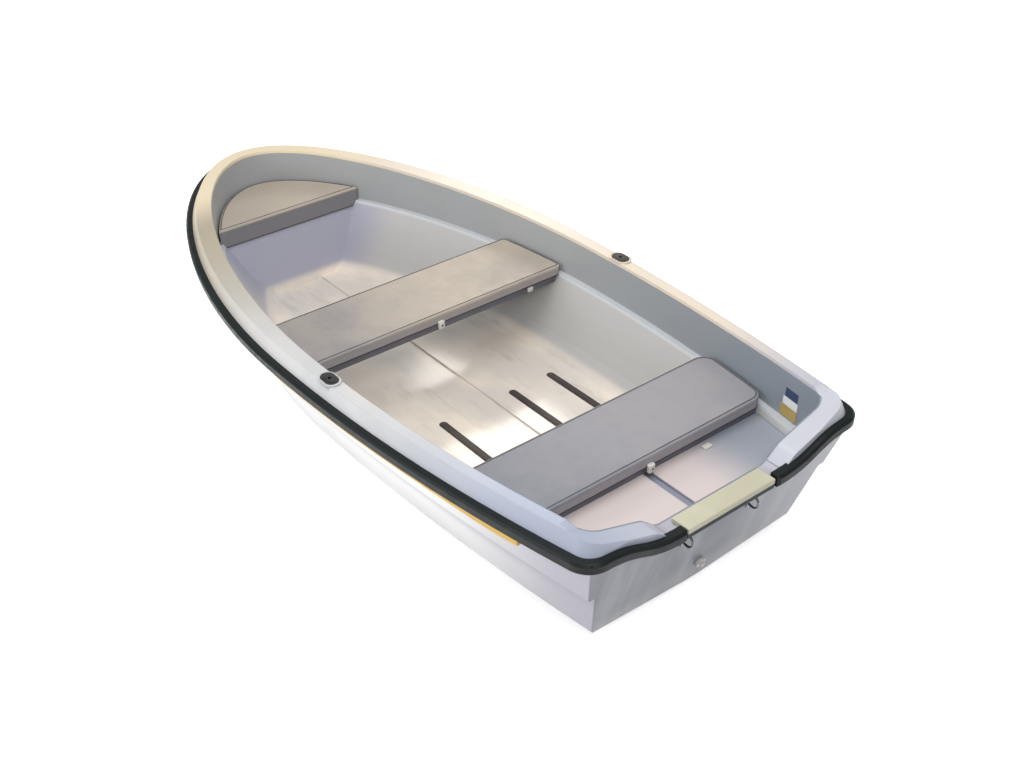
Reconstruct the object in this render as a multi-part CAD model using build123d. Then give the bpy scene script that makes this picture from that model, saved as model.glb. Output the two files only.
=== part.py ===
from build123d import *
import math
import os

# Open rowing dinghy, a double-skinned moulding with a small transom for an outboard.
# Millimetres. X runs forward, Y to port, Z up. Stations are measured forward from the
# aft end of the rub rail, and levels from the underside of the keel.

# Overall
length = 3100.0
beam = 1424.0
rail_projection = 22.0
rail_depth = 40.0
rail_softening = 8.0
skin = 5.0

# Levels
keel_depth = 20.0
chine_level = 54.0
lap_level = 270.0
foot_level = 446.0
coaming_height = 57.0
floor_level = 62.0
ledge_level = 335.0
well_level = 300.0
seat_top = 373.0
bow_seat_top = 398.0

# Sheer, as a rise of the gunwale over its lowest point amidships
sheer_bow = 44.0
sheer_stern = 26.0
sheer_station = 0.435 * length
sheer_reach = 60.0

# Plan of the hull, measured in from the flange that the rub rail wraps
flange_half = beam / 2 - rail_projection
flange_stem = length - rail_projection
flange_stern_half = flange_half - 143.0
hull_widest = 0.49 * length
bow_fullness = (0.50, 0.50)
keel_half, keel_stem, keel_stern_half = 34.0, flange_stem - 438.0, 30.0
chine_half, chine_stem = flange_half - 165.0, flange_stem - 288.0
chine_stern_half = flange_stern_half - 115.0
lap_low_half, lap_low_stem = flange_half - 98.0, flange_stem - 103.0
lap_low_stern_half = flange_stern_half - 70.0
lap_step = 24.0
transom_station = rail_projection
transom_rake = 0.29

# Plan of the gunwale coaming and of the inner walls
coaming_inset, coaming_bow_inset = 4.0, 10.0
coaming_slope = 0.35
coaming_bow_slope = 0.80
coaming_stern_slope = 0.27
crest_width = 50.0
crest_bow_width = 49.0
crest_stern_width = 55.0
crest_stern_half = flange_stern_half - 50.0
crest_lip = 14.0
wall_slope = 0.04
inner_widest = 0.44 * length
ledge_width = 18.0
floor_half, floor_tip = flange_half - 214.0, flange_stem - 373.0
floor_stern_half = flange_stern_half - 122.0
bilge_inset, bilge_rise, bilge_steps = 60.0, 0.42, 4
corner_radius = 60.0

# Stations of what stands inside
bow_bulkhead = flange_stem - 434.0
bow_bulkhead_slope = 0.28
well_bulkhead = 430.0
mid_thwart_aft = 0.485 * length
mid_thwart = (mid_thwart_aft, mid_thwart_aft + 338.0)
stern_thwart = (362.0, 675.0)
bow_seat_edge = bow_bulkhead + 16.0
seat_gap = 8.0
seat_base_depth = 35.0
seat_base_inset = 12.0
seat_corner_mid = 22.0
seat_corner_stern = 55.0

# Fittings
pad_top, pad_thickness, pad_half, pad_aft, pad_width = 405.0, 20.0, 183.0, 8.0, 72.0
trim_depth = 18.0
rowlock_station = mid_thwart_aft - 297.0
rowlock_boss, rowlock_boss_rise, rowlock_boss_taper = (96.0, 62.0), 6.0, 20.0
rowlock_boss_depth = 36.0
rowlock_flange, rowlock_flange_thickness = (58.0, 30.0), 4.0
rowlock_tube_radius, rowlock_tube_length, rowlock_bore_radius = 10.0, 42.0, 6.5
eye_rod, eye_width, eye_reach = 8.0, 52.0, 36.0
eye_plate, eye_plate_thickness, eye_plate_corner = (24.0, 72.0), 3.0, 6.0
eye_leg = 14.0
stern_eye_out, stern_eye_level = 140.0, 315.0
bow_eye_level = 345.0
strip_width, strip_thickness = 20.0, 4.0
strip_ends = (470.0, mid_thwart_aft - 217.0)
strip_lines = (164.0, 352.0)
channel_half, channel_depth = 76.0, 7.0
drain_half, drain_depth = 15.0, 12.0
keel_width, keel_ends = 40.0, (170.0, keel_stem - 160.0)
runner_width, runner_out, runner_ends = 34.0, 250.0, (420.0, 0.66 * length)
plug_radius, plug_height, plug_level = 19.0, 9.0, 100.0
plug_side_count = 6
tab_size, tab_corner = (16.0, 26.0, 27.0), 5.0
clearance = 0.3
seat_edge = 7.0
base_web = 8.0
bow_seat_lip = 30.0
bow_seat_hang = 19.0
pad_edge = 4.0

# Stern cut-out: half breadth and level of each corner of its edge, from the sheer down to the pad
notch_corners = ((560.0, 530.0), (288.0, 438.0), (226.0, 385.0))
notch_rounding = 50.0
# Dip of the rub rail, and of the joint under it, from the transom's corners to the pad
dip_depth = 66.0
dip_ends = (flange_stern_half - 27.0, pad_half + 17.0)

far = 2 * length
crest_level = foot_level + coaming_height
crest_half = flange_half - coaming_inset - coaming_slope * coaming_height - crest_width
crest_tip = flange_stem - coaming_bow_inset - coaming_bow_slope * coaming_height - crest_bow_width
crest_stern = transom_station + coaming_inset + coaming_stern_slope * coaming_height + crest_stern_width
rowlock_out = crest_half + crest_width / 2
rail_top = 6.0
rail_end = pad_half + 7.0
joint_reach = 150.0
edge_spots = (0.05, 0.35, 0.65, 0.95)
trim_above = 130.0
stern_band = 36.0
notch_reach = 160.0


def outline(level, half, stem, stern, stern_half, widest, corner=0.0):
    # Plan at one level: straight stern, shallow side arcs and an elliptical bow
    run = widest - stern
    rise = half - stern_half
    radius = (run**2 + rise**2) / (2 * rise)
    bend = half - radius + math.sqrt(radius**2 - (run / 2) ** 2)
    middle = widest - run / 2
    port = ThreePointArc((stern, stern_half), (middle, bend), (widest, half))
    starboard = ThreePointArc((widest, -half), (middle, -bend), (stern, -stern_half))
    shoulder = widest + bow_fullness[0] * (stem - widest)
    nose = bow_fullness[1] * half
    port_bow = Bezier((widest, half), (shoulder, half), (stem, nose), (stem, 0))
    starboard_bow = Bezier((stem, 0), (stem, -nose), (shoulder, -half), (widest, -half))
    transom = Line((stern, -stern_half), (stern, stern_half))
    face = make_face([port, port_bow, starboard_bow, starboard, transom])
    if corner > 0:
        face = fillet(face.vertices().sort_by(Axis.X)[:2], corner)
    return Pos(0, 0, level) * face


def ruled(*outlines):
    return loft(outlines, ruled=True)


def block(x, y, z):
    # Box from three pairs of ends
    size = [abs(ends[1] - ends[0]) for ends in (x, y, z)]
    middle = [(ends[0] + ends[1]) / 2 for ends in (x, y, z)]
    return Pos(*middle) * Box(*size)


def sheer_rise(station):
    # Rise of the sheer at a station: a parabola through its three set points
    aft, low, fore = -sheer_reach, sheer_station, length + sheer_reach
    from_aft = sheer_stern * (station - low) * (station - fore) / ((aft - low) * (aft - fore))
    return from_aft + sheer_bow * (station - aft) * (station - low) / ((fore - aft) * (fore - low))


def under_sheer(lowest):
    # Everything below the sheer, where the sheer's lowest point is at the given level
    aft, fore = -sheer_reach, length + sheer_reach
    middle = (aft + fore) / 2
    knee = 2 * sheer_rise(middle) - (sheer_stern + sheer_bow) / 2
    ends = (aft, lowest + sheer_stern), (fore, lowest + sheer_bow)
    line = Bezier(ends[0], (middle, lowest + knee), ends[1])
    sides = Polyline(ends[1], (fore, -sheer_reach), (aft, -sheer_reach), ends[0])
    return extrude(Plane.XZ * make_face([line, sides]), amount=beam, both=True)


def transom_at(level):
    return transom_station + transom_rake * (foot_level - level)


def coaming_outline(level, grow):
    # Outer face of the gunwale coaming, which leans inwards as it rises
    up = level - foot_level
    inset = coaming_inset - grow
    return outline(
        level,
        flange_half - inset - coaming_slope * up,
        flange_stem - coaming_bow_inset + grow - coaming_bow_slope * (up - sheer_bow),
        transom_station + inset + coaming_stern_slope * (up - sheer_stern),
        flange_stern_half - inset - coaming_slope * (up - sheer_stern),
        hull_widest,
        corner_radius,
    )


def coaming(grow):
    # The whole gunwale before its inside is cut out, from below the flange to above the crest.
    # Where it hangs down behind the dip of the rail, its aft face is upright
    body = ruled(
        coaming_outline(foot_level - 2 * rail_depth, grow),
        coaming_outline(crest_level + trim_above, grow),
    )
    return body & block((transom_station + coaming_inset - grow, far), (-beam, beam), (0, far))


def wall_outline(level, grow, inset=0.0):
    # Inner wall between the ledge and the crest, grown outwards for the back of the skin
    down = (crest_level - level) * wall_slope + inset
    return outline(
        level,
        crest_half - down + grow,
        crest_tip - down + grow,
        crest_stern + down - grow,
        crest_stern_half - down + grow,
        inner_widest,
        corner_radius + grow,
    )


def bilge_outline(turn, grow):
    # One outline of the bilge's round, from the flat of the floor (0) to the slope of the side (1)
    share = bilge_rise * turn**2
    inset = bilge_inset * (1 - turn) ** 2 - grow
    level = floor_level + share * (ledge_level - floor_level) - grow * (1 - turn)
    down = (crest_level - ledge_level) * wall_slope + ledge_width
    ledge = (crest_half - down, crest_tip - down, crest_stern + down, crest_stern_half - down)
    floor = (floor_half, floor_tip, transom_at(floor_level) + ledge_width, floor_stern_half)
    half, tip, stern, stern_half = [low + share * (high - low) for low, high in zip(floor, ledge)]
    corner = corner_radius + grow
    return outline(
        level, half - inset, tip - inset, stern + inset, stern_half - inset, inner_widest, corner
    )


def cavity(grow):
    # The open inside of the boat, or the back of its skin when grown
    high = ruled(
        wall_outline(ledge_level - grow, grow),
        wall_outline(crest_level + trim_above, grow),
    )
    rings = [bilge_outline(step / bilge_steps, grow) for step in range(bilge_steps + 1)]
    bowl = ruled(*rings, wall_outline(ledge_level, grow, ledge_width))
    bulkhead_foot = bow_bulkhead - bow_bulkhead_slope * ledge_level
    corners = (well_bulkhead - grow, 0), (bulkhead_foot + grow, 0), (bow_bulkhead + grow, ledge_level)
    side = make_face(Polyline(*corners, (well_bulkhead - grow, ledge_level), close=True))
    main = extrude(Plane.XZ * side, amount=beam, both=True)
    well = block((0, well_bulkhead), (-beam, beam), (well_level - grow, ledge_level))
    channel = block(
        (well_bulkhead - grow, bow_bulkhead),
        (-channel_half - grow, channel_half + grow),
        (floor_level - channel_depth - grow, ledge_level),
    )
    drain = block(
        (crest_stern, well_bulkhead + 1),
        (-drain_half - grow, drain_half + grow),
        (well_level - drain_depth - grow, ledge_level),
    )
    return high + (bowl & main) + (bowl & well) + (channel & main) + drain


def stern_notch():
    # Space above the edge of the stern cut-out, through the transom
    top = crest_level + trim_above
    half = [(notch_corners[0][0] + 2 * notch_rounding, top)] + list(notch_corners)
    points = half + [(-y, z) for y, z in reversed(half)]
    face = make_face(Polyline(*points, close=True))
    face = fillet(face.vertices().filter_by(lambda corner: corner.Y < top), notch_rounding)
    return Pos(-notch_reach, 0, 0) * extrude(Plane.YZ * face, amount=2 * notch_reach)


def dip_curve(level, depth):
    # Seen from astern: level at the sides, with a soft bend down to each end of the pad
    out, near = dip_ends
    middle = (out + near) / 2
    low = level - depth
    return [
        Line((beam, level), (out, level)),
        Bezier((out, level), (middle, level), (middle, low), (near, low)),
        Line((near, low), (-near, low)),
        Bezier((-near, low), (-middle, low), (-middle, level), (-out, level)),
        Line((-out, level), (-beam, level)),
    ]


def dip_band(low, high, depth, reach):
    # Everything between two levels that follow the dip, from astern of the transom to a station
    ends = [Line((side * beam, low), (side * beam, high)) for side in (1, -1)]
    face = make_face(dip_curve(low, depth) + dip_curve(high, depth) + ends)
    return Pos(-notch_reach, 0, 0) * extrude(Plane.YZ * face, amount=notch_reach + reach)


hull_levels = (
    # level, half breadth, stem, transom half breadth
    (keel_depth, keel_half, keel_stem, keel_stern_half),
    (chine_level, chine_half, chine_stem, chine_stern_half),
    (lap_level, lap_low_half, lap_low_stem, lap_low_stern_half),
)


def hull_section(level, half, stem, stern_half, grow=0.0):
    stern = transom_at(level) - grow
    return outline(level, half + grow, stem + grow, stern, stern_half + grow, hull_widest)


def upper_strake(grow):
    # From the lap up past the flange by the same slope, to be trimmed to the sheer
    step = (lap_low_half + lap_step, lap_low_stem + lap_step, lap_low_stern_half + lap_step)
    flange = (flange_half, flange_stem, flange_stern_half)
    rises = (foot_level, foot_level + sheer_bow, foot_level + sheer_stern)
    top_level = foot_level + trim_above
    top = [
        low + (high - low) * (top_level - lap_level) / (rise - lap_level)
        for low, high, rise in zip(step, flange, rises)
    ]
    return ruled(hull_section(lap_level, *step, grow), hull_section(top_level, *top, grow))


def hull_outside():
    keel, chine, lap = [hull_section(*row) for row in hull_levels]
    return ruled(keel, chine) + ruled(chine, lap) + (upper_strake(0) & under_sheer(foot_level))


def save(shape, name):
    nodes[name] = shape


nodes = {}
notch = stern_notch()
inside = cavity(0)
skin_back = cavity(skin)
bowl_clear = cavity(-clearance)
moulded_hull = hull_outside()
joint_level = foot_level + sheer_stern
dip = dip_band(joint_level, joint_level + trim_above, dip_depth + 2 * rail_top, joint_reach)
below_joint = under_sheer(foot_level) - dip
below_lip = under_sheer(crest_level - crest_lip)

hull = moulded_hull - dip - skin_back - notch
liner = ((skin_back - inside) & below_lip) - notch
gunwale = (coaming(0) & under_sheer(crest_level)) - below_joint - (skin_back & below_lip) - inside - notch


def rub_rail():
    # Wraps the flange from the coaming's foot to the hull's side, and dips across the transom
    top = foot_level + rail_top
    band = under_sheer(top) - under_sheer(top - rail_depth)
    band = band & block((stern_band, far), (-beam, beam), (0, far))
    corner = top + sheer_rise(stern_band)
    band = band + dip_band(corner - rail_depth, corner, dip_depth, stern_band)
    band = band - block((-notch_reach, far), (-rail_end, rail_end), (0, foot_level))
    flange = (upper_strake(clearance) & under_sheer(foot_level + clearance)) - dip
    held = flange + (coaming(clearance) - below_joint)
    cut_out = notch & block((-notch_reach, stern_band), (-beam, beam), (0, far))
    return (flange_ring(rail_projection) & band) - (held - cut_out)


def flange_ring(grow):
    face = outline(
        0,
        flange_half + grow,
        flange_stem + grow,
        transom_station - grow,
        flange_stern_half + grow,
        hull_widest,
        corner_radius + grow,
    )
    return extrude(face, amount=crest_level + trim_above)


def softened(shape, walls, size):
    # Takes the corner off every edge of a shape that lies on the walls of another
    def lies_on_walls(edge):
        spots = [Vertex(*(edge @ share)) for share in edge_spots]
        return all(min(wall.distance_to(spot) for wall in walls) < clearance for spot in spots)

    return chamfer(shape.edges().filter_by(lies_on_walls), size)


rail_walls = [face for face in flange_ring(rail_projection).faces() if face.normal_at().Z == 0]
rail = softened(rub_rail(), rail_walls, rail_softening)


def inside_walls(level, depth, gap):
    # A slab between two levels that fits inside the walls with a gap all round
    return ruled(wall_outline(level, -gap), wall_outline(level + depth, -gap))


def thwart(ends, corner):
    depth = seat_top - ledge_level
    seat = inside_walls(ledge_level, depth, seat_gap) & block(ends, (-beam, beam), (0, far))
    uprights = seat.edges().filter_by(lambda edge: edge.bounding_box().size.Z > depth - clearance)
    seat = fillet(uprights, corner)
    return fillet(seat.faces().sort_by(Axis.Z)[-1].edges(), seat_edge)


def thwart_base(ends):
    # Open frame under a thwart, between the lower walls
    low = ledge_level - seat_base_depth
    outer = (ends[0] + seat_base_inset, ends[1] - seat_base_inset)
    inner = (outer[0] + base_web, outer[1] - base_web)
    frame = block(outer, (-beam, beam), (low, ledge_level))
    return (frame - block(inner, (-beam, beam), (0, ledge_level - base_web))) & bowl_clear


bow_seat_start = bow_seat_edge - bow_seat_lip
bow_seat = inside_walls(ledge_level, bow_seat_top - ledge_level, seat_gap)
bow_seat = bow_seat & block((bow_seat_start, far), (-beam, beam), (0, far))
lip_levels = (ledge_level - bow_seat_hang, ledge_level)
lip = block((bow_seat_start, bow_bulkhead - clearance), (-beam, beam), lip_levels)
bow_seat = bow_seat + (lip & bowl_clear)
bow_seat = fillet(bow_seat.faces().sort_by(Axis.Z)[-1].edges(), seat_edge)

save(rail, "rub_rail")
save(bow_seat, "bow_seat")
save(thwart(mid_thwart, seat_corner_mid), "mid_thwart")
save(thwart_base(mid_thwart), "mid_thwart_base")
save(thwart(stern_thwart, seat_corner_stern), "stern_thwart")
save(thwart_base(stern_thwart), "stern_thwart_base")

# Pad on the transom, and the dark strip under its aft edge
pad_low = pad_top - pad_thickness
pad = block((pad_aft, pad_aft + pad_width), (-pad_half, pad_half), (pad_low, pad_top))
save(fillet(pad.edges(), pad_edge), "transom_pad")
trim_ends = (pad_aft + pad_edge, pad_aft + pad_width / 2)
trim = block(trim_ends, (-pad_half, pad_half), (pad_low - trim_depth, pad_low))
save(trim - moulded_hull, "transom_trim")

# Floor strips
for side, word in ((1, "port"), (-1, "starboard")):
    for out, place in zip(strip_lines, ("inner", "outer")):
        run = strip_ends[1] - strip_ends[0]
        strip = extrude(SlotOverall(run, strip_width), amount=strip_thickness)
        strip = Pos(sum(strip_ends) / 2, side * out, floor_level) * strip
        save(strip, f"floor_strip_{word}_{place}")

# Keel and bilge runners, which the boat stands on
keel = extrude(SlotOverall(keel_ends[1] - keel_ends[0], keel_width), amount=keel_depth)
save(Pos(sum(keel_ends) / 2, 0, 0) * keel, "keel")
for side, word in ((1, "port"), (-1, "starboard")):
    runner = extrude(SlotOverall(runner_ends[1] - runner_ends[0], runner_width), amount=chine_level)
    runner = Pos(sum(runner_ends) / 2, side * runner_out, 0) * runner
    save(runner - moulded_hull, f"bilge_runner_{word}")

# Rowlock sockets: a boss on the coaming and a black insert with a bore for the rowlock's pin
boss_top = crest_level + rowlock_boss_rise
for side, word in ((1, "port"), (-1, "starboard")):
    at = Pos(rowlock_station, side * rowlock_out, boss_top)
    boss = extrude(SlotOverall(*rowlock_boss), amount=-rowlock_boss_depth, taper=rowlock_boss_taper)
    tube = extrude(Circle(rowlock_tube_radius), amount=-rowlock_tube_length)
    flange = extrude(SlotOverall(*rowlock_flange), amount=rowlock_flange_thickness)
    bore = extrude(Circle(rowlock_bore_radius), amount=2 * rowlock_tube_length, both=True)
    gunwale = gunwale + at * boss - at * tube
    liner = liner - at * boss
    save(at * (tube + flange - bore), f"rowlock_socket_{word}")


def eye(name, place, slope):
    # Mooring eye: a bent rod through a plate. Its own frame has Z outwards and Y up the surface
    surface = Plane(origin=place, x_dir=(0, 1, 0), z_dir=slope)
    bend = (eye_width - eye_rod) / 2
    straight = eye_reach - eye_rod / 2 - bend
    top = ThreePointArc((-bend, straight), (0, straight + bend), (bend, straight))
    legs = Line((-bend, -eye_leg), (-bend, straight)), Line((bend, straight), (bend, -eye_leg))
    wire = Plane.YZ * Wire([legs[0], top, legs[1]])
    rod = sweep(Plane((0, -bend, -eye_leg)) * Circle(eye_rod / 2), path=wire)
    plate = extrude(RectangleRounded(*eye_plate, eye_plate_corner), amount=eye_plate_thickness)
    rod = surface.location * rod
    plate = surface.location * plate - rod
    save(rod, name)
    save(plate, name + "_plate")
    return rod


transom_out = (-math.cos(math.atan(transom_rake)), 0, -math.sin(math.atan(transom_rake)))
for side, word in ((1, "port"), (-1, "starboard")):
    place = (transom_at(stern_eye_level), side * stern_eye_out, stern_eye_level)
    hull = hull - eye(f"stern_eye_{word}", place, transom_out)

stem_low, stem_high = lap_low_stem + lap_step, flange_stem
stem_lean = (stem_high - stem_low) / (foot_level + sheer_bow - lap_level)
stem_here = stem_low + stem_lean * (bow_eye_level - lap_level)
stem_out = (math.cos(math.atan(stem_lean)), 0, -math.sin(math.atan(stem_lean)))
hull = hull - eye("bow_eye", (stem_here, 0, bow_eye_level), stem_out)

# Drain plug low in the transom
plug_plane = Plane(origin=(transom_at(plug_level), 0, plug_level), x_dir=(0, 1, 0), z_dir=transom_out)
plug = extrude(Circle(plug_radius), amount=plug_height)
plug = plug + extrude(RegularPolygon(plug_radius / 2, plug_side_count), amount=2 * plug_height)
save(plug_plane.location * plug, "drain_plug")

# Small catches in the middle of the thwarts' aft faces
for ends, word in ((mid_thwart, "mid"), (stern_thwart, "stern")):
    across = (-tab_size[1] / 2, tab_size[1] / 2)
    levels = (ledge_level - tab_size[2] * 2 / 3, ledge_level + tab_size[2] / 3)
    tab = block((ends[0] - tab_size[0], ends[0]), across, levels)
    save(fillet(tab.edges().filter_by(Axis.Z), tab_corner), f"{word}_thwart_catch")

save(hull, "hull")
save(liner, "inner_liner")
save(gunwale, "gunwale")

os.makedirs("parts", exist_ok=True)
for name, shape in nodes.items():
    shape = Pos(-length / 2, 0, 0) * shape
    print(name, len(shape.solids()), round(shape.volume / 1e6, 3), shape.is_valid)
    export_step(shape, f"parts/{name}.step")
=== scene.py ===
import math

import bmesh
import bpy
from mathutils import Matrix, Vector
from mathutils.bvhtree import BVHTree


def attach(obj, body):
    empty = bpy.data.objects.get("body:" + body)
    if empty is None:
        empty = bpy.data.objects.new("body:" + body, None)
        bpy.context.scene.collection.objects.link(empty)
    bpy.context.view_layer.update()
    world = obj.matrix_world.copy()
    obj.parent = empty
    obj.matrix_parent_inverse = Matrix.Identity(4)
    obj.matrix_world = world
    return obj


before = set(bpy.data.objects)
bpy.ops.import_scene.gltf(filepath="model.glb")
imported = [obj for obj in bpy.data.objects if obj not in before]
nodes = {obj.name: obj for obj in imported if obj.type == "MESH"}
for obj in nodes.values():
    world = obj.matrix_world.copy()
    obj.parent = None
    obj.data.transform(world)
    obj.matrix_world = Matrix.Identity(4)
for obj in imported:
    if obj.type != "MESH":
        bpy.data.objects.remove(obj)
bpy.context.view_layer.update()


# Shader maths: a socket that takes the ordinary operators, and a finish that makes the nodes

class Value:
    def __init__(self, finish, socket):
        self.finish = finish
        self.socket = socket

    def math(self, operation, first, second):
        return self.finish.add("ShaderNodeMath", {"operation": operation}, {0: first, 1: second})

    def __add__(self, other):
        return self.math("ADD", self, other)

    def __radd__(self, other):
        return self.math("ADD", other, self)

    def __sub__(self, other):
        return self.math("SUBTRACT", self, other)

    def __rsub__(self, other):
        return self.math("SUBTRACT", other, self)

    def __mul__(self, other):
        return self.math("MULTIPLY", self, other)

    def __rmul__(self, other):
        return self.math("MULTIPLY", other, self)


class Finish:
    def __init__(self, name, **constants):
        self.material = bpy.data.materials.new(name)
        self.material.use_nodes = True
        self.tree = self.material.node_tree
        self.shader = self.tree.nodes["Principled BSDF"]
        for socket, value in constants.items():
            self.shader.inputs[socket.replace("_", " ")].default_value = value
        self.where = self.add("ShaderNodeTexCoord", {}, {}, "Object")

    def add(self, kind, settings, inputs, output=0):
        node = self.tree.nodes.new(kind)
        for key, value in settings.items():
            setattr(node, key, value)
        for key, value in inputs.items():
            if isinstance(value, Value):
                self.tree.links.new(value.socket, node.inputs[key])
            else:
                node.inputs[key].default_value = value
        return Value(self, node.outputs[output])

    def noise(self, scale, detail=3, roughness=0.55, stretch=(1, 1, 1)):
        place = self.add("ShaderNodeMapping", {}, {"Vector": self.where, "Scale": stretch})
        inputs = {"Vector": place, "Scale": scale, "Detail": detail, "Roughness": roughness}
        return self.add("ShaderNodeTexNoise", {}, inputs)

    def span(self, value, low, high, to=(0, 1)):
        inputs = {"Value": value, "From Min": low, "From Max": high, "To Min": to[0], "To Max": to[1]}
        return self.add("ShaderNodeMapRange", {"interpolation_type": "SMOOTHSTEP"}, inputs)

    def patches(self, scale, detail, between, roughness=0.55, stretch=(1, 1, 1), to=(0, 1)):
        # Noise as soft patches: none below the first level, full above the second
        return self.span(self.noise(scale, detail, roughness, stretch), *between, to)

    def along(self, axis):
        return self.add("ShaderNodeSeparateXYZ", {}, {0: self.where}, axis)

    def mix(self, mask, first, second):
        # Sockets 0, 6 and 7 of a mix node are the factor and the two colours
        return self.add("ShaderNodeMix", {"data_type": "RGBA"}, {0: mask, 6: first, 7: second}, 2)

    # Feeds a value into an input of the shader; the colours fed this way include painted light and shade as
    # well as real tone
    def feed(self, socket, value):
        self.tree.links.new(value.socket, self.shader.inputs[socket])
        return self

    def relief(self, height, distance, strength, edge):
        soft = self.add("ShaderNodeBevel", {"samples": 6}, {"Radius": edge})
        inputs = {"Height": height, "Distance": distance, "Strength": strength, "Normal": soft}
        return self.feed("Normal", self.add("ShaderNodeBump", {}, inputs))


def colour(red, green, blue):
    # From the 0 to 255 shades of a swatch to linear light
    def linear(shade):
        shade = shade / 255
        return shade / 12.92 if shade <= 0.04045 else ((shade + 0.055) / 1.055) ** 2.4
    return (linear(red), linear(green), linear(blue), 1)


# Gelcoat of hull, coaming and inner skin. Pairs are the places or levels, in metres,
# between which one tone passes into the next

gelcoat = {
    "coat": 0.12, "mottle": 3.2, "mottleShare": 0.4, "cloud": 7, "spread": 0.05,
    "ripple": 9.0, "rippleDepth": 0.0003, "rippleStrength": 0.3, "edge": 0.005,
}


def gelcoatFinish(name, base, other, roughness, coatRoughness):
    finish = Finish(name, Coat_Weight=gelcoat["coat"], Coat_Roughness=coatRoughness, IOR=1.5)
    mottle = finish.patches(gelcoat["mottle"], 2, between=(0.3, 0.75))
    tone = finish.mix(mottle * gelcoat["mottleShare"], base, other)
    limits = (roughness - gelcoat["spread"], roughness + gelcoat["spread"])
    finish.feed("Roughness", finish.patches(gelcoat["cloud"], 2, between=(0.25, 0.75), to=limits))
    ripple = finish.noise(gelcoat["ripple"], 2)
    finish.relief(ripple, gelcoat["rippleDepth"], gelcoat["rippleStrength"], gelcoat["edge"])
    return finish, tone


hullLook = {
    "white": colour(238, 238, 236), "other": colour(226, 226, 230), "roughness": 0.36, "coat": 0.3,
    "aft": colour(160, 158, 173), "aftShadePlaces": (-0.75, -1.45), "aftShadeShare": 0.9,
    "lap": 0.270, "lapShade": colour(150, 149, 160), "lapShadeLevels": (0.16, 0.26), "lapShadeShare": 0.8,
    "transom": colour(96, 100, 113), "transomLine": -1.3985, "rake": 0.29,
    "transomLitSide": colour(184, 185, 192), "litSidePlaces": (0.1, -0.5), "litSideShare": 0.65,
    "reflectionStreak": 7, "reflectionStreakStretch": (0.15, 1.3, 0.15), "reflectionStreakShare": 0.3,
    "low": colour(196, 194, 194), "lowLevels": (0.03, 0.14), "lowShare": 0.5, "lowPatch": 2.5,
}


def hullFinish():
    # White sides with painted shade that cools them towards the stern and under the lap of the strake, and a
    # transom painted dark as shade, paler to starboard as painted light, with soft upright streaks of painted
    # reflection
    look = hullLook
    finish, tone = gelcoatFinish("hullGelcoat", look["white"], look["other"], look["roughness"], look["coat"])
    forward, across, height = (finish.along(axis) for axis in "XYZ")
    # Painted shade: the sides darken and cool towards the stern
    tone = finish.mix(finish.span(forward, *look["aftShadePlaces"]) * look["aftShadeShare"], tone, look["aft"])
    # Painted shade in a band under the lap of the strake
    below = finish.span(height, look["lap"] + 0.001, look["lap"] - 0.001)
    lapShade = below * finish.span(height, *look["lapShadeLevels"])
    tone = finish.mix(lapShade * look["lapShadeShare"], tone, look["lapShade"])
    # Soft upright streaks of painted reflection on the transom
    reflectionStreak = finish.patches(look["reflectionStreak"], 3, (0.4, 0.68), 0.5, look["reflectionStreakStretch"])
    # Painted shade makes the transom dark, and painted light makes it paler to starboard
    pale = finish.span(across, *look["litSidePlaces"]) * look["litSideShare"]
    transom = finish.mix(reflectionStreak * look["reflectionStreakShare"] + pale, look["transom"], look["transomLitSide"])
    line = look["transomLine"]
    astern = finish.span(forward + height * look["rake"], line + 0.008, line + 0.002)
    tone = finish.mix(astern, tone, transom)
    low = finish.span(height, *look["lowLevels"], (look["lowShare"], 0))
    tone = finish.mix(low * finish.patches(look["lowPatch"], 2, between=(0.3, 0.7)), tone, look["low"])
    return finish.feed("Base Color", tone).material


deckLook = {
    "grey": colour(192, 193, 194), "other": colour(220, 217, 214), "roughness": 0.34, "coat": 0.3,
    "warmReflection": colour(176, 164, 140), "warmReflectionPlaces": (-0.2, 0.9), "warmReflectionShare": 0.9,
    "starboard": colour(228, 215, 198), "starboardLightPlaces": (0.1, -0.4),
    "bow": colour(240, 224, 194), "bowReflectionPlaces": (0.9, 1.2),
    "aft": colour(174, 181, 198), "aftShadePlaces": (-0.8, -1.45), "aftShadeShare": 0.8,
    "quarterShade": colour(150, 159, 180), "quarterShadePlaces": ((-0.4, -1.3), (0.3, 0.55)), "quarterShadeShare": 0.7,
}


def deckFinish():
    # Painted shade cools it towards the stern, most of all at the port quarter, and painted warm reflection
    # lights it forward and to starboard
    look = deckLook
    finish, tone = gelcoatFinish("deckGelcoat", look["grey"], look["other"], look["roughness"], look["coat"])
    forward = finish.along("X")
    across = finish.along("Y")
    # Painted warm reflection forward, to starboard and strongest at the bow
    tone = finish.mix(finish.span(forward, *look["warmReflectionPlaces"]) * look["warmReflectionShare"], tone, look["warmReflection"])
    tone = finish.mix(finish.span(across, *look["starboardLightPlaces"]), tone, look["starboard"])
    tone = finish.mix(finish.span(forward, *look["bowReflectionPlaces"]), tone, look["bow"])
    # Painted shade: cooler towards the stern and bluest at the port quarter
    tone = finish.mix(finish.span(forward, *look["aftShadePlaces"]) * look["aftShadeShare"], tone, look["aft"])
    lengthwise, sideways = look["quarterShadePlaces"]
    quarterShade = finish.span(forward, *lengthwise) * finish.span(across, *sideways)
    tone = finish.mix(quarterShade * look["quarterShadeShare"], tone, look["quarterShade"])
    return finish.feed("Base Color", tone).material


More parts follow.
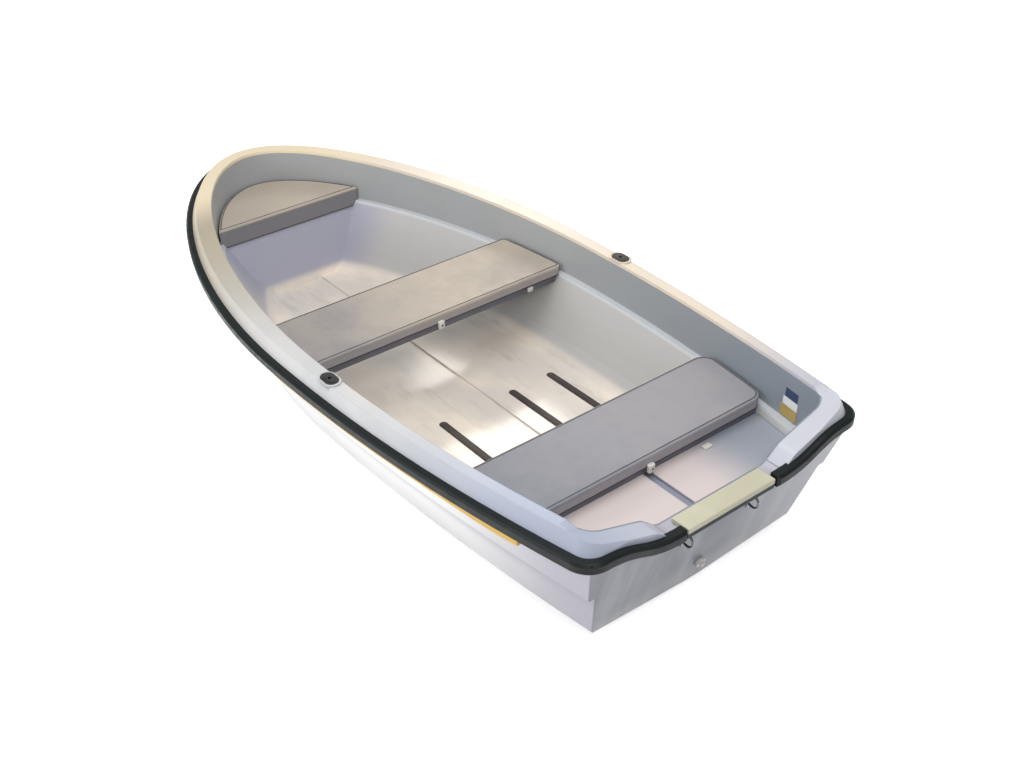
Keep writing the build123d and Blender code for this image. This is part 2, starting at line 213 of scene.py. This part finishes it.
linerLook = {
    "wall": colour(166, 169, 170), "other": colour(168, 172, 178), "roughness": 0.34, "coat": 0.14,
    "wallShadeAft": colour(132, 140, 149), "wallShadePlaces": (0.2, -1.3),
    "ledge": colour(206, 210, 214), "ledgeLevels": (0.342, 0.33),
    "side": colour(190, 189, 188), "lowerWallLightLevels": (0.332, 0.318),
    "bulkheadShade": colour(170, 171, 188), "bulkheadShadePlaces": (0.85, 1.05),
    "well": colour(206, 195, 194), "wellLevels": (0.308, 0.302), "wellPlaces": (-1.1, -1.13),
    "wellShade": colour(148, 154, 165), "wellShadePlaces": (-0.1, -0.35),
    "drain": colour(136, 141, 158), "drainShadeLevels": (0.299, 0.292),
    "floor": colour(224, 217, 208), "floorSheen": colour(245, 234, 220), "floorLevels": (0.11, 0.07),
    "floorCoat": 0.6, "patch": 3.2, "sheenPatchStretch": (0.8, 1.3, 1),
    "scuffTone": colour(150, 146, 144), "scuff": 22, "scuffStretch": (0.18, 1, 1), "scuffShare": 0.28,
}


def linerFinish():
    # Grey walls with painted shade towards the stern, a painted highlight along the ledge, a lower wall
    # painted lighter as light, painted shade on the bulkhead, a stern well with painted shade to starboard
    # and in the drain, and a warm glossy floor with painted bright reflection patches that is scuffed along
    # the boat
    look = linerLook
    finish, tone = gelcoatFinish("linerGelcoat", look["wall"], look["other"], look["roughness"], look["coat"])
    forward, across, height = (finish.along(axis) for axis in "XYZ")
    # Painted shade darkens the walls towards the stern
    tone = finish.mix(finish.span(forward, *look["wallShadePlaces"]), tone, look["wallShadeAft"])
    # Painted highlight along the ledge
    tone = finish.mix(finish.span(height, *look["ledgeLevels"]), tone, look["ledge"])
    # Painted shade on the bulkhead
    low = finish.mix(finish.span(forward, *look["bulkheadShadePlaces"]), look["side"], look["bulkheadShade"])
    # The wall below the ledge is painted lighter as painted light
    tone = finish.mix(finish.span(height, *look["lowerWallLightLevels"]), tone, low)
    well = finish.span(height, *look["wellLevels"]) * finish.span(forward, *look["wellPlaces"])
    # Painted shade on the starboard part of the stern well
    wellTone = finish.mix(finish.span(across, *look["wellShadePlaces"]), look["well"], look["wellShade"])
    tone = finish.mix(well, tone, wellTone)
    # Painted shade in the drain
    tone = finish.mix(well * finish.span(height, *look["drainShadeLevels"]), tone, look["drain"])
    # Bright patches on the floor are painted reflections
    patch = finish.patches(look["patch"], 3, (0.38, 0.64), 0.5, look["sheenPatchStretch"])
    ground = finish.mix(patch, look["floor"], look["floorSheen"])
    scuff = finish.patches(look["scuff"], 5, (0.52, 0.74), 0.7, look["scuffStretch"])
    ground = finish.mix(scuff * look["scuffShare"], ground, look["scuffTone"])
    flat = finish.span(height, *look["floorLevels"])
    finish.feed("Coat Weight", flat * look["floorCoat"])
    return finish.feed("Base Color", finish.mix(flat, tone, ground)).material


# Plastic, rubber and steel

plastic = {
    "mottle": 4.0, "mottleShare": 0.9, "portShadeShare": 0.65, "portShadePlaces": (-0.2, 0.5),
    "grain": 700.0, "grainDepth": 0.00012, "grainStrength": 0.5, "coat": 0.04, "coatRoughness": 0.3,
    "fleck": 160, "fleckTone": colour(70, 68, 74), "fleckShare": 0.1, "cloud": 30, "spread": (0.06, 0.08),
    "sideShadeSoftness": 0.003,
}


def mouldedFinish(name, base, other, roughness, edge=0.002, sideShade=None, gloss=1.49):
    # Moulded plastic or rubber with a fine grain. Where a side shade is given, the sides are painted darker
    # below its level as painted shade, and the other shade gathers on its port side as painted shade
    finish = Finish(name, IOR=gloss, Coat_Weight=plastic["coat"], Coat_Roughness=plastic["coatRoughness"])
    patch = finish.patches(plastic["mottle"], 4, (0.36, 0.68), 0.6)
    if sideShade:
        # Painted shade gathers on the port side
        portShade = finish.span(finish.along("Y"), *plastic["portShadePlaces"])
        patch = patch * (1 - plastic["portShadeShare"]) + portShade * plastic["portShadeShare"]
    tone = finish.mix(patch * plastic["mottleShare"], base, other)
    if sideShade:
        # Painted shade on the sides below the level
        soft = plastic["sideShadeSoftness"]
        below = finish.span(finish.along("Z"), sideShade["level"] + soft, sideShade["level"] - soft)
        tone = finish.mix(below * sideShade["share"], tone, sideShade["tone"])
    fleck = finish.patches(plastic["fleck"], 3, (0.6, 0.8), 0.7)
    finish.feed("Base Color", finish.mix(fleck * plastic["fleckShare"], tone, plastic["fleckTone"]))
    less, more = plastic["spread"]
    limits = (roughness - less, roughness + more)
    finish.feed("Roughness", finish.patches(plastic["cloud"], 3, between=(0.3, 0.7), to=limits))
    grain = finish.noise(plastic["grain"], 2)
    finish.relief(grain, plastic["grainDepth"], plastic["grainStrength"], edge)
    return finish.material


steel = {
    "pale": colour(140, 142, 148), "dark": colour(84, 87, 94), "cloud": 60, "roughness": (0.14, 0.32),
    "brush": 500, "brushStretch": (1, 1, 0.05), "brushDepth": 0.00005, "brushStrength": 0.4, "edge": 0.0008,
}


def steelFinish():
    finish = Finish("polishedSteel", Metallic=1.0)
    cloud = finish.noise(steel["cloud"], 4)
    finish.feed("Base Color", finish.mix(cloud, steel["pale"], steel["dark"]))
    finish.feed("Roughness", finish.span(cloud, 0.3, 0.75, steel["roughness"]))
    brush = finish.noise(steel["brush"], 3, 0.6, steel["brushStretch"])
    finish.relief(brush, steel["brushDepth"], steel["brushStrength"], steel["edge"])
    return finish.material


# Painted shade on the sides of the seats below these levels
seatSideShade = {"level": 0.362, "tone": colour(150, 146, 152), "share": 0.7}
bowSeatSideShade = {"level": 0.388, "tone": colour(118, 119, 127), "share": 0.9}

finishes = {
    "hull": hullFinish(),
    "liner": linerFinish(),
    "deck": deckFinish(),
    "rail": mouldedFinish("railRubber", colour(17, 24, 24), colour(25, 31, 31), 0.4, 0.004, gloss=1.3),
    "bowSeat": mouldedFinish(
        "bowSeatPlastic", colour(188, 177, 162), colour(176, 167, 155), 0.55, 0.004, bowSeatSideShade
    ),
    # The second shade of the middle and stern seats is painted shade on their port side
    "midSeat": mouldedFinish(
        "midSeatPlastic", colour(184, 173, 158), colour(138, 135, 138), 0.55, 0.004, seatSideShade
    ),
    "sternSeat": mouldedFinish(
        "sternSeatPlastic", colour(150, 148, 152), colour(118, 123, 134), 0.55, 0.004, seatSideShade
    ),
    "base": mouldedFinish("seatBasePlastic", colour(104, 104, 114), colour(90, 92, 102), 0.45),
    "pad": mouldedFinish("padPlastic", colour(192, 190, 168), colour(182, 178, 156), 0.44, 0.003),
    "strip": mouldedFinish("stripRubber", colour(66, 60, 58), colour(84, 76, 72), 0.7, 0.001),
    "keel": mouldedFinish("keelPlastic", colour(178, 178, 176), colour(160, 158, 154), 0.5, 0.004),
    "socket": mouldedFinish("socketPlastic", colour(20, 21, 23), colour(32, 33, 35), 0.32, 0.001),
    "catch": mouldedFinish("catchPlastic", colour(214, 212, 206), colour(190, 188, 184), 0.4, 0.001),
    "yellow": mouldedFinish("edgeLaminate", colour(224, 186, 78), colour(206, 158, 60), 0.45),
    "blue": mouldedFinish("blueLabel", colour(54, 68, 104), colour(64, 78, 112), 0.35),
    "white": mouldedFinish("whiteLabel", colour(222, 224, 226), colour(206, 210, 214), 0.35),
    "ochre": mouldedFinish("ochreLabel", colour(176, 150, 88), colour(158, 132, 78), 0.35),
    "seam": mouldedFinish("seatSeam", colour(92, 88, 92), colour(78, 76, 82), 0.5),
    # Dark painted shade for holes and gaps
    "hollowShade": mouldedFinish("darkHollow", colour(24, 23, 24), colour(34, 32, 32), 0.6),
    "steel": steelFinish(),
}
nodeFinish = {
    "hull": "hull", "inner_liner": "liner", "gunwale": "deck", "rub_rail": "rail", "transom_trim": "rail",
    "bow_seat": "bowSeat", "mid_thwart": "midSeat", "stern_thwart": "sternSeat",
    "mid_thwart_base": "base", "stern_thwart_base": "base", "transom_pad": "pad",
    "keel": "keel", "bilge_runner_port": "keel", "bilge_runner_starboard": "keel",
    "rowlock_socket_port": "socket", "rowlock_socket_starboard": "socket",
    "drain_plug": "catch", "mid_thwart_catch": "catch", "stern_thwart_catch": "catch",
}


def dressNodes():
    # Floor strips are rubber, and the other nodes without a name in the list are steel
    for name, piece in nodes.items():
        kind = nodeFinish.get(name) or ("strip" if name.startswith("floor_strip") else "steel")
        for materialSlot in piece.material_slots:
            materialSlot.material = finishes[kind]
    print("finishes on", len(nodes), "CAD nodes")


dressNodes()


# Tools for the pieces that are laid on the CAD surfaces

tolerance = {"merge": 1e-5, "weld": 1e-6, "facing": 0.9}


def surfaceOf(name):
    # Merged copy of a node's mesh
    shape = bmesh.new()
    shape.from_mesh(nodes[name].data)
    shape.transform(nodes[name].matrix_world)
    bmesh.ops.remove_doubles(shape, verts=shape.verts, dist=tolerance["merge"])
    shape.normal_update()
    return shape


def treeOf(name):
    # The same surface, for rays
    copy = surfaceOf(name)
    tree = BVHTree.FromBMesh(copy)
    copy.free()
    return tree


def boxOf(name):
    corners = [nodes[name].matrix_world @ Vector(corner) for corner in nodes[name].bound_box]
    return [Vector([pick(corner[axis] for corner in corners) for axis in range(3)]) for pick in (min, max)]


def addPiece(shape, name, kind, smooth=30):
    # Puts a finished mesh into the scene at the origin, fixed to the boat
    bmesh.ops.remove_doubles(shape, verts=shape.verts, dist=tolerance["weld"])
    bmesh.ops.recalc_face_normals(shape, faces=shape.faces)
    mesh = bpy.data.meshes.new(name)
    shape.to_mesh(mesh)
    shape.free()
    mesh.materials.append(finishes[kind])
    piece = bpy.data.objects.new(name, mesh)
    bpy.context.scene.collection.objects.link(piece)
    mesh.shade_smooth()
    mesh.set_sharp_from_angle(angle=math.radians(smooth))
    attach(piece, "root")
    print(name, len(mesh.polygons), "faces")


def keepFaces(shape, wanted):
    spare = [face for face in shape.faces if not wanted(face)]
    bmesh.ops.delete(shape, geom=spare, context="FACES")


def grown(shape):
    # Extrudes all the faces on the spot and gives the new corners
    made = bmesh.ops.extrude_face_region(shape, geom=shape.faces[:])["geom"]
    return [item for item in made if isinstance(item, bmesh.types.BMVert)]


def thickened(shape, way):
    bmesh.ops.translate(shape, verts=grown(shape), vec=way)


def rimOf(shape, width):
    # Keeps a strip of this width inside the outline
    rim = set(bmesh.ops.inset_region(
        shape, faces=shape.faces[:], thickness=width, use_boundary=True, use_even_offset=True
    )["faces"])
    keepFaces(shape, lambda face: face in rim)


def slot(low, high, margin, level, segments=32):
    # Flat face with round ends, larger all round by a margin than a box seen from above
    shape = bmesh.new()
    middle = (low + high) / 2
    half = (high.y - low.y) / 2
    straight = (high.x - low.x) / 2 - half
    turn = Matrix.Rotation(math.pi / segments, 4, "Z")
    corners = bmesh.ops.create_circle(
        shape, cap_ends=True, radius=half + margin, segments=segments, matrix=turn
    )["verts"]
    for corner in corners:
        corner.co.x += math.copysign(straight, corner.co.x)
        corner.co += Vector((middle.x, middle.y, level))
    return shape


def turned(profile, centre, axis, steps=32):
    # Full turn of a profile of (radius, height) corners about an axis through a centre
    shape = bmesh.new()
    out = axis.orthogonal().normalized()
    corners = [shape.verts.new(centre + out * radius + axis * height) for radius, height in profile]
    lines = [shape.edges.new(pair) for pair in zip(corners, corners[1:])]
    bmesh.ops.spin(
        shape, geom=corners + lines, cent=centre, axis=axis, angle=math.tau, steps=steps, use_merge=True
    )
    return shape


def rounded(centre, size, radius, segments=3):
    # Block with all its edges rounded
    shape = bmesh.new()
    place = Matrix.Translation(centre) @ Matrix.Diagonal((*size, 1))
    bmesh.ops.create_cube(shape, size=1, matrix=place)
    bmesh.ops.bevel(
        shape, geom=shape.edges[:], offset=radius, segments=segments, profile=0.5, affect="EDGES", material=-1
    )
    return shape


# Blank labels on the starboard wall, each laid over a rectangle of stations and levels

labels = {
    "wall": "inner_liner", "thickness": 0.0012, "gap": 0.2, "columns": 8, "rows": 3, "start": 0.2,
    "pieces": (
        # name, finish, stations, levels
        ("labelUpper", "blue", (-1.336, -1.277), (0.418, 0.451)),
        ("labelMiddle", "white", (-1.340, -1.270), (0.386, 0.4165)),
        ("labelLower", "ochre", (-1.342, -1.262), (0.344, 0.384)),
    ),
}


def makeLabels():
    tree = treeOf(labels["wall"])
    outboard = Vector((0, -1, 0))
    for name, kind, stations, levels in labels["pieces"]:
        shape = bmesh.new()
        net = bmesh.ops.create_grid(
            shape, x_segments=labels["columns"], y_segments=labels["rows"], size=0.5
        )["verts"]
        for corner in net:
            x = stations[0] + (stations[1] - stations[0]) * (corner.co.x + 0.5)
            z = levels[0] + (levels[1] - levels[0]) * (corner.co.y + 0.5)
            found, normal, _, _ = tree.ray_cast(Vector((x, -labels["start"], z)), outboard)
            lift = labels["gap"] * labels["thickness"]
            corner.co = found + normal * math.copysign(lift, -normal.dot(outboard))
        thickened(shape, -outboard * labels["thickness"])
        addPiece(shape, name, kind)


edgeStrip = {
    "from": "rub_rail", "ends": (-1.285, -0.06), "thin": 0.008, "deep": 0.020,
    "deepest": -1.225, "spread": 0.22, "step": 0.06,
}


def makeEdgeStrips():
    # Yellow edge of the laminate showing under the rail, taken from the rail's own underside
    shape = surfaceOf(edgeStrip["from"])
    low, high = edgeStrip["ends"]
    count = int((high - low) / edgeStrip["step"]) + 1
    for cut in [low + edgeStrip["step"] * turn for turn in range(count)] + [high]:
        everything = shape.verts[:] + shape.edges[:] + shape.faces[:]
        bmesh.ops.bisect_plane(
            shape, geom=everything, plane_co=(cut, 0, 0), plane_no=(1, 0, 0), dist=tolerance["weld"]
        )
    shape.normal_update()
    keepFaces(
        shape,
        lambda face: face.normal.z <= -tolerance["facing"] and low < face.calc_center_median().x < high
    )
    for corner in grown(shape):
        near = math.exp(-((corner.co.x - edgeStrip["deepest"]) / edgeStrip["spread"]) ** 2)
        corner.co.z -= edgeStrip["thin"] + (edgeStrip["deep"] - edgeStrip["thin"]) * near
    addPiece(shape, "edgeLaminateStrips", "yellow")


catch = {
    "hole": 0.0045, "rim": 0.008, "lift": 0.0012, "deep": 0.0006, "root": 0.001, "tip": 0.0001,
    "names": {"mid_thwart_catch": "catchEyeMid", "stern_thwart_catch": "catchEyeStern"},
}


def makeCatchEyes():
    # A raised ring and a dark disc of painted shade for the hole in the aft face of each catch
    aft = Vector((-1, 0, 0))
    hole, rim, lift, deep, root = (catch[key] for key in ("hole", "rim", "lift", "deep", "root"))
    for node, name in catch["names"].items():
        low, high = boxOf(node)
        centre = Vector((low.x, (low.y + high.y) / 2, (low.z + high.z) / 2))
        addPiece(turned(((hole, -root), (hole, lift), (rim, lift), (rim, -root)), centre, aft), name, "catch")
        # Dark disc of painted shade in the hole
        hollowShade = turned(((catch["tip"], deep), (hole, deep), (hole, -root)), centre, aft)
        addPiece(hollowShade, name + "Hollow", "hollowShade")


fairing = {
    "under": "gunwale", "from": -1.3895, "run": 0.042, "outer": 0.5375, "foot": 0.5105, "start": 0.3,
    "columns": 10, "rows": 4, "depth": 0.006, "gap": 0.0008, "lift": 0.0001, "probe": (0.002, 0.01),
}


def makeFairings():
    # Eases the crest down into the stern cut-out, where the cut-out begins
    tree = treeOf(fairing["under"])
    across = Vector((0, 1, 0))
    down = Vector((0, 0, -1))
    forward, inboard = fairing["probe"]
    crest = tree.ray_cast(Vector((fairing["from"] + forward, fairing["outer"] - inboard, 1)), down)[0].z
    for side, word in ((1, "Port"), (-1, "Starboard")):
        shape = bmesh.new()
        net = bmesh.ops.create_grid(
            shape, x_segments=fairing["columns"], y_segments=fairing["rows"], size=0.5
        )["verts"]
        for corner in net:
            share = 0.5 - corner.co.x
            x = fairing["from"] - fairing["run"] * share
            wall = tree.ray_cast(Vector((x, fairing["start"], fairing["foot"])), across)[0].y
            inner = wall + fairing["gap"]
            y = inner + (fairing["outer"] - inner) * (corner.co.y + 0.5)
            ground = tree.ray_cast(Vector((x - fairing["gap"], y, 1)), down)[0].z
            rise = max(0, crest - ground) * (1 - share) ** 2
            corner.co = Vector((x, side * y, ground + rise + fairing["lift"]))
        thickened(shape, down * fairing["depth"])
        addPiece(shape, "crestFairing" + word, "deck")


gapShadeBead = {"under": ("bow_seat", "mid_thwart", "stern_thwart"), "depth": 0.003, "slack": 0.001}


def makeGapShadeBeads():
    # Dark bead of painted shade for the gap between each seat and its base, taken from the seat's own
    # underside
    for name in gapShadeBead["under"]:
        shape = surfaceOf(name)
        highest = boxOf(name)[0].z + gapShadeBead["slack"]
        keepFaces(
            shape,
            lambda face: face.normal.z <= -tolerance["facing"] and face.calc_center_median().z <= highest
        )
        thickened(shape, (0, 0, -gapShadeBead["depth"]))
        addPiece(shape, name + "_gap_shade", "hollowShade")


seam = {
    "on": ("bow_seat", "mid_thwart", "stern_thwart"), "width": 0.0045, "height": 0.0014, "sunk": 0.00035,
    "flat": 0.999, "slack": 0.0005,
}


def makeSeams():
    # Dark welt along the edge of each seat's flat top
    for name in seam["on"]:
        shape = surfaceOf(name)
        lowest = boxOf(name)[1].z - seam["slack"]
        keepFaces(
            shape, lambda face: face.normal.z >= seam["flat"] and face.calc_center_median().z >= lowest
        )
        rimOf(shape, seam["width"])
        thickened(shape, (0, 0, seam["height"]))
        bmesh.ops.translate(shape, verts=shape.verts, vec=(0, 0, -seam["sunk"]))
        addPiece(shape, name + "_seam", "seam")


treads = {"nodes": "floor_strip", "margin": 0.006, "thickness": 0.0018, "lift": 0.0001}


def makeTreadFlanges():
    # Thin flange round each floor strip, with the same round ends
    for name in [name for name in nodes if name.startswith(treads["nodes"])]:
        low, high = boxOf(name)
        shape = slot(low, high, treads["margin"], low.z + treads["lift"])
        thickened(shape, (0, 0, treads["thickness"]))
        addPiece(shape, name + "_flange", "strip")


washer = {"nodes": "rowlock_socket", "margin": 0.0095, "gap": 0.0002, "under": 0.004, "thickness": 0.0028}


def makeRowlockWashers():
    # Black ring on the boss round each rowlock socket's insert
    for name in [name for name in nodes if name.startswith(washer["nodes"])]:
        low, high = boxOf(name)
        shape = slot(low, high, washer["margin"], high.z - washer["under"])
        rimOf(shape, washer["margin"] - washer["gap"])
        thickened(shape, (0, 0, washer["thickness"]))
        addPiece(shape, name + "_washer", "socket")


smallPieces = {
    "seatLatch": {"centre": (-0.0405, -0.440, 0.316), "size": (0.014, 0.026, 0.020), "radius": 0.004},
    "wellClip": {"centre": (-1.206, -0.242, 0.3035), "size": (0.022, 0.034, 0.010), "radius": 0.003},
}


def makeSmallPieces():
    for name, block in smallPieces.items():
        addPiece(rounded(block["centre"], block["size"], block["radius"]), name, "catch")


makeLabels()
makeEdgeStrips()
makeCatchEyes()
makeFairings()
makeGapShadeBeads()
makeSeams()
makeTreadFlanges()
makeRowlockWashers()
makeSmallPieces()


# Stage, lights and camera

stage = {
    "floor": 30.0, "pale": (0.86, 0.86, 0.87, 1), "white": (1, 1, 1, 1), "cloud": 0.5, "cloudShare": 0.04,
    "glow": 0.62,
}


def paleFinish():
    # Pale to the light, and lifted towards white for the camera and in reflections
    finish = Finish("paleFloor", Roughness=0.9)
    cloud = finish.noise(stage["cloud"], 2)
    finish.feed("Base Color", finish.mix(cloud * stage["cloudShare"], stage["pale"], stage["white"]))
    tree = finish.tree
    rays = tree.nodes.new("ShaderNodeLightPath")
    seen = Value(finish, rays.outputs["Is Camera Ray"])
    seen = seen.math("MAXIMUM", seen, Value(finish, rays.outputs["Is Glossy Ray"]))
    seen = seen.math("MAXIMUM", seen, Value(finish, rays.outputs["Is Transmission Ray"]))
    glow = tree.nodes.new("ShaderNodeEmission")
    tree.links.new((seen * stage["glow"]).socket, glow.inputs["Strength"])
    both = tree.nodes.new("ShaderNodeAddShader")
    tree.links.new(finish.shader.outputs[0], both.inputs[0])
    tree.links.new(glow.outputs[0], both.inputs[1])
    tree.links.new(both.outputs[0], tree.nodes["Material Output"].inputs["Surface"])
    return finish.material


def makeFloor():
    plane = bmesh.new()
    bmesh.ops.create_grid(plane, x_segments=2, y_segments=2, size=stage["floor"] / 2)
    mesh = bpy.data.meshes.new("studioFloor")
    plane.to_mesh(mesh)
    plane.free()
    floor = bpy.data.objects.new("studioFloor", mesh)
    bpy.context.scene.collection.objects.link(floor)
    mesh.materials.append(paleFinish())


lighting = {
    "sky": (0.93, 0.96, 1, 1), "skyStrength": 0.42, "backdrop": (1, 1, 1, 1),
    "lamps": (
        # name, place, size, power, aim, tint
        ("overhead", (-0.5, 0.5, 3.8), 2.6, 62, (0, 0, 0.2), (1, 0.98, 0.95)),
        ("aftFill", (-2.5, 0.8, 2.7), 1.4, 38, (0, 0, 0.2), (1, 0.97, 0.93)),
        ("portSide", (0.9, 4.2, 1.5), 2.4, 78, (0.1, 0, 0.2), (1, 1, 1)),
        ("sheen", (3.5, -2.9, 3.3), 1.5, 50, (0, 0, 0.1), (1, 0.95, 0.88)),
    ),
}


def makeWorld():
    # Soft sky light, and a white backdrop for the camera
    world = bpy.data.worlds.new("studio")
    bpy.context.scene.world = world
    world.use_nodes = True
    tree = world.node_tree
    tree.nodes.clear()
    out = tree.nodes.new("ShaderNodeOutputWorld")
    mixer = tree.nodes.new("ShaderNodeMixShader")
    light = tree.nodes.new("ShaderNodeBackground")
    shown = tree.nodes.new("ShaderNodeBackground")
    rays = tree.nodes.new("ShaderNodeLightPath")
    either = tree.nodes.new("ShaderNodeMath")
    either.operation = "MAXIMUM"
    light.inputs["Color"].default_value = lighting["sky"]
    light.inputs["Strength"].default_value = lighting["skyStrength"]
    shown.inputs["Color"].default_value = lighting["backdrop"]
    tree.links.new(rays.outputs["Is Camera Ray"], either.inputs[0])
    tree.links.new(rays.outputs["Is Transmission Ray"], either.inputs[1])
    tree.links.new(either.outputs[0], mixer.inputs[0])
    tree.links.new(light.outputs[0], mixer.inputs[1])
    tree.links.new(shown.outputs[0], mixer.inputs[2])
    tree.links.new(mixer.outputs[0], out.inputs[0])


def makeLamps():
    for name, place, size, power, aim, tint in lighting["lamps"]:
        lamp = bpy.data.lights.new(name, "AREA")
        lamp.shape = "DISK"
        lamp.size = size
        lamp.energy = power
        lamp.color = tint
        shown = bpy.data.objects.new(name, lamp)
        shown.location = place
        shown.rotation_euler = (Vector(aim) - Vector(place)).to_track_quat("-Z", "Y").to_euler()
        bpy.context.scene.collection.objects.link(shown)


view = {
    "place": (-3.3363, 2.1634, 2.6985), "yaw": 37.184, "down": 34.024, "roll": -1.670,
    "lens": 42.617, "sensor": 36,
}


def makeCamera():
    # Yaw turns from the bow towards starboard, and all the angles are in degrees
    yaw, down, roll = (math.radians(view[key]) for key in ("yaw", "down", "roll"))
    ahead = Vector((math.cos(yaw) * math.cos(down), -math.sin(yaw) * math.cos(down), -math.sin(down)))
    level = Vector((-math.sin(yaw), -math.cos(yaw), 0))
    right = level * math.cos(roll) + level.cross(ahead) * math.sin(roll)
    above = right.cross(ahead)
    lens = bpy.data.cameras.new("photoView")
    lens.lens = view["lens"]
    lens.sensor_width = view["sensor"]
    camera = bpy.data.objects.new("photoView", lens)
    turn = Matrix((right, above, -ahead)).transposed().to_4x4()
    camera.matrix_world = Matrix.Translation(view["place"]) @ turn
    bpy.context.scene.collection.objects.link(camera)
    bpy.context.scene.camera = camera


makeFloor()
makeWorld()
makeLamps()
makeCamera()
bpy.context.scene.view_settings.view_transform = "Standard"
print("stage, lamps and camera made")
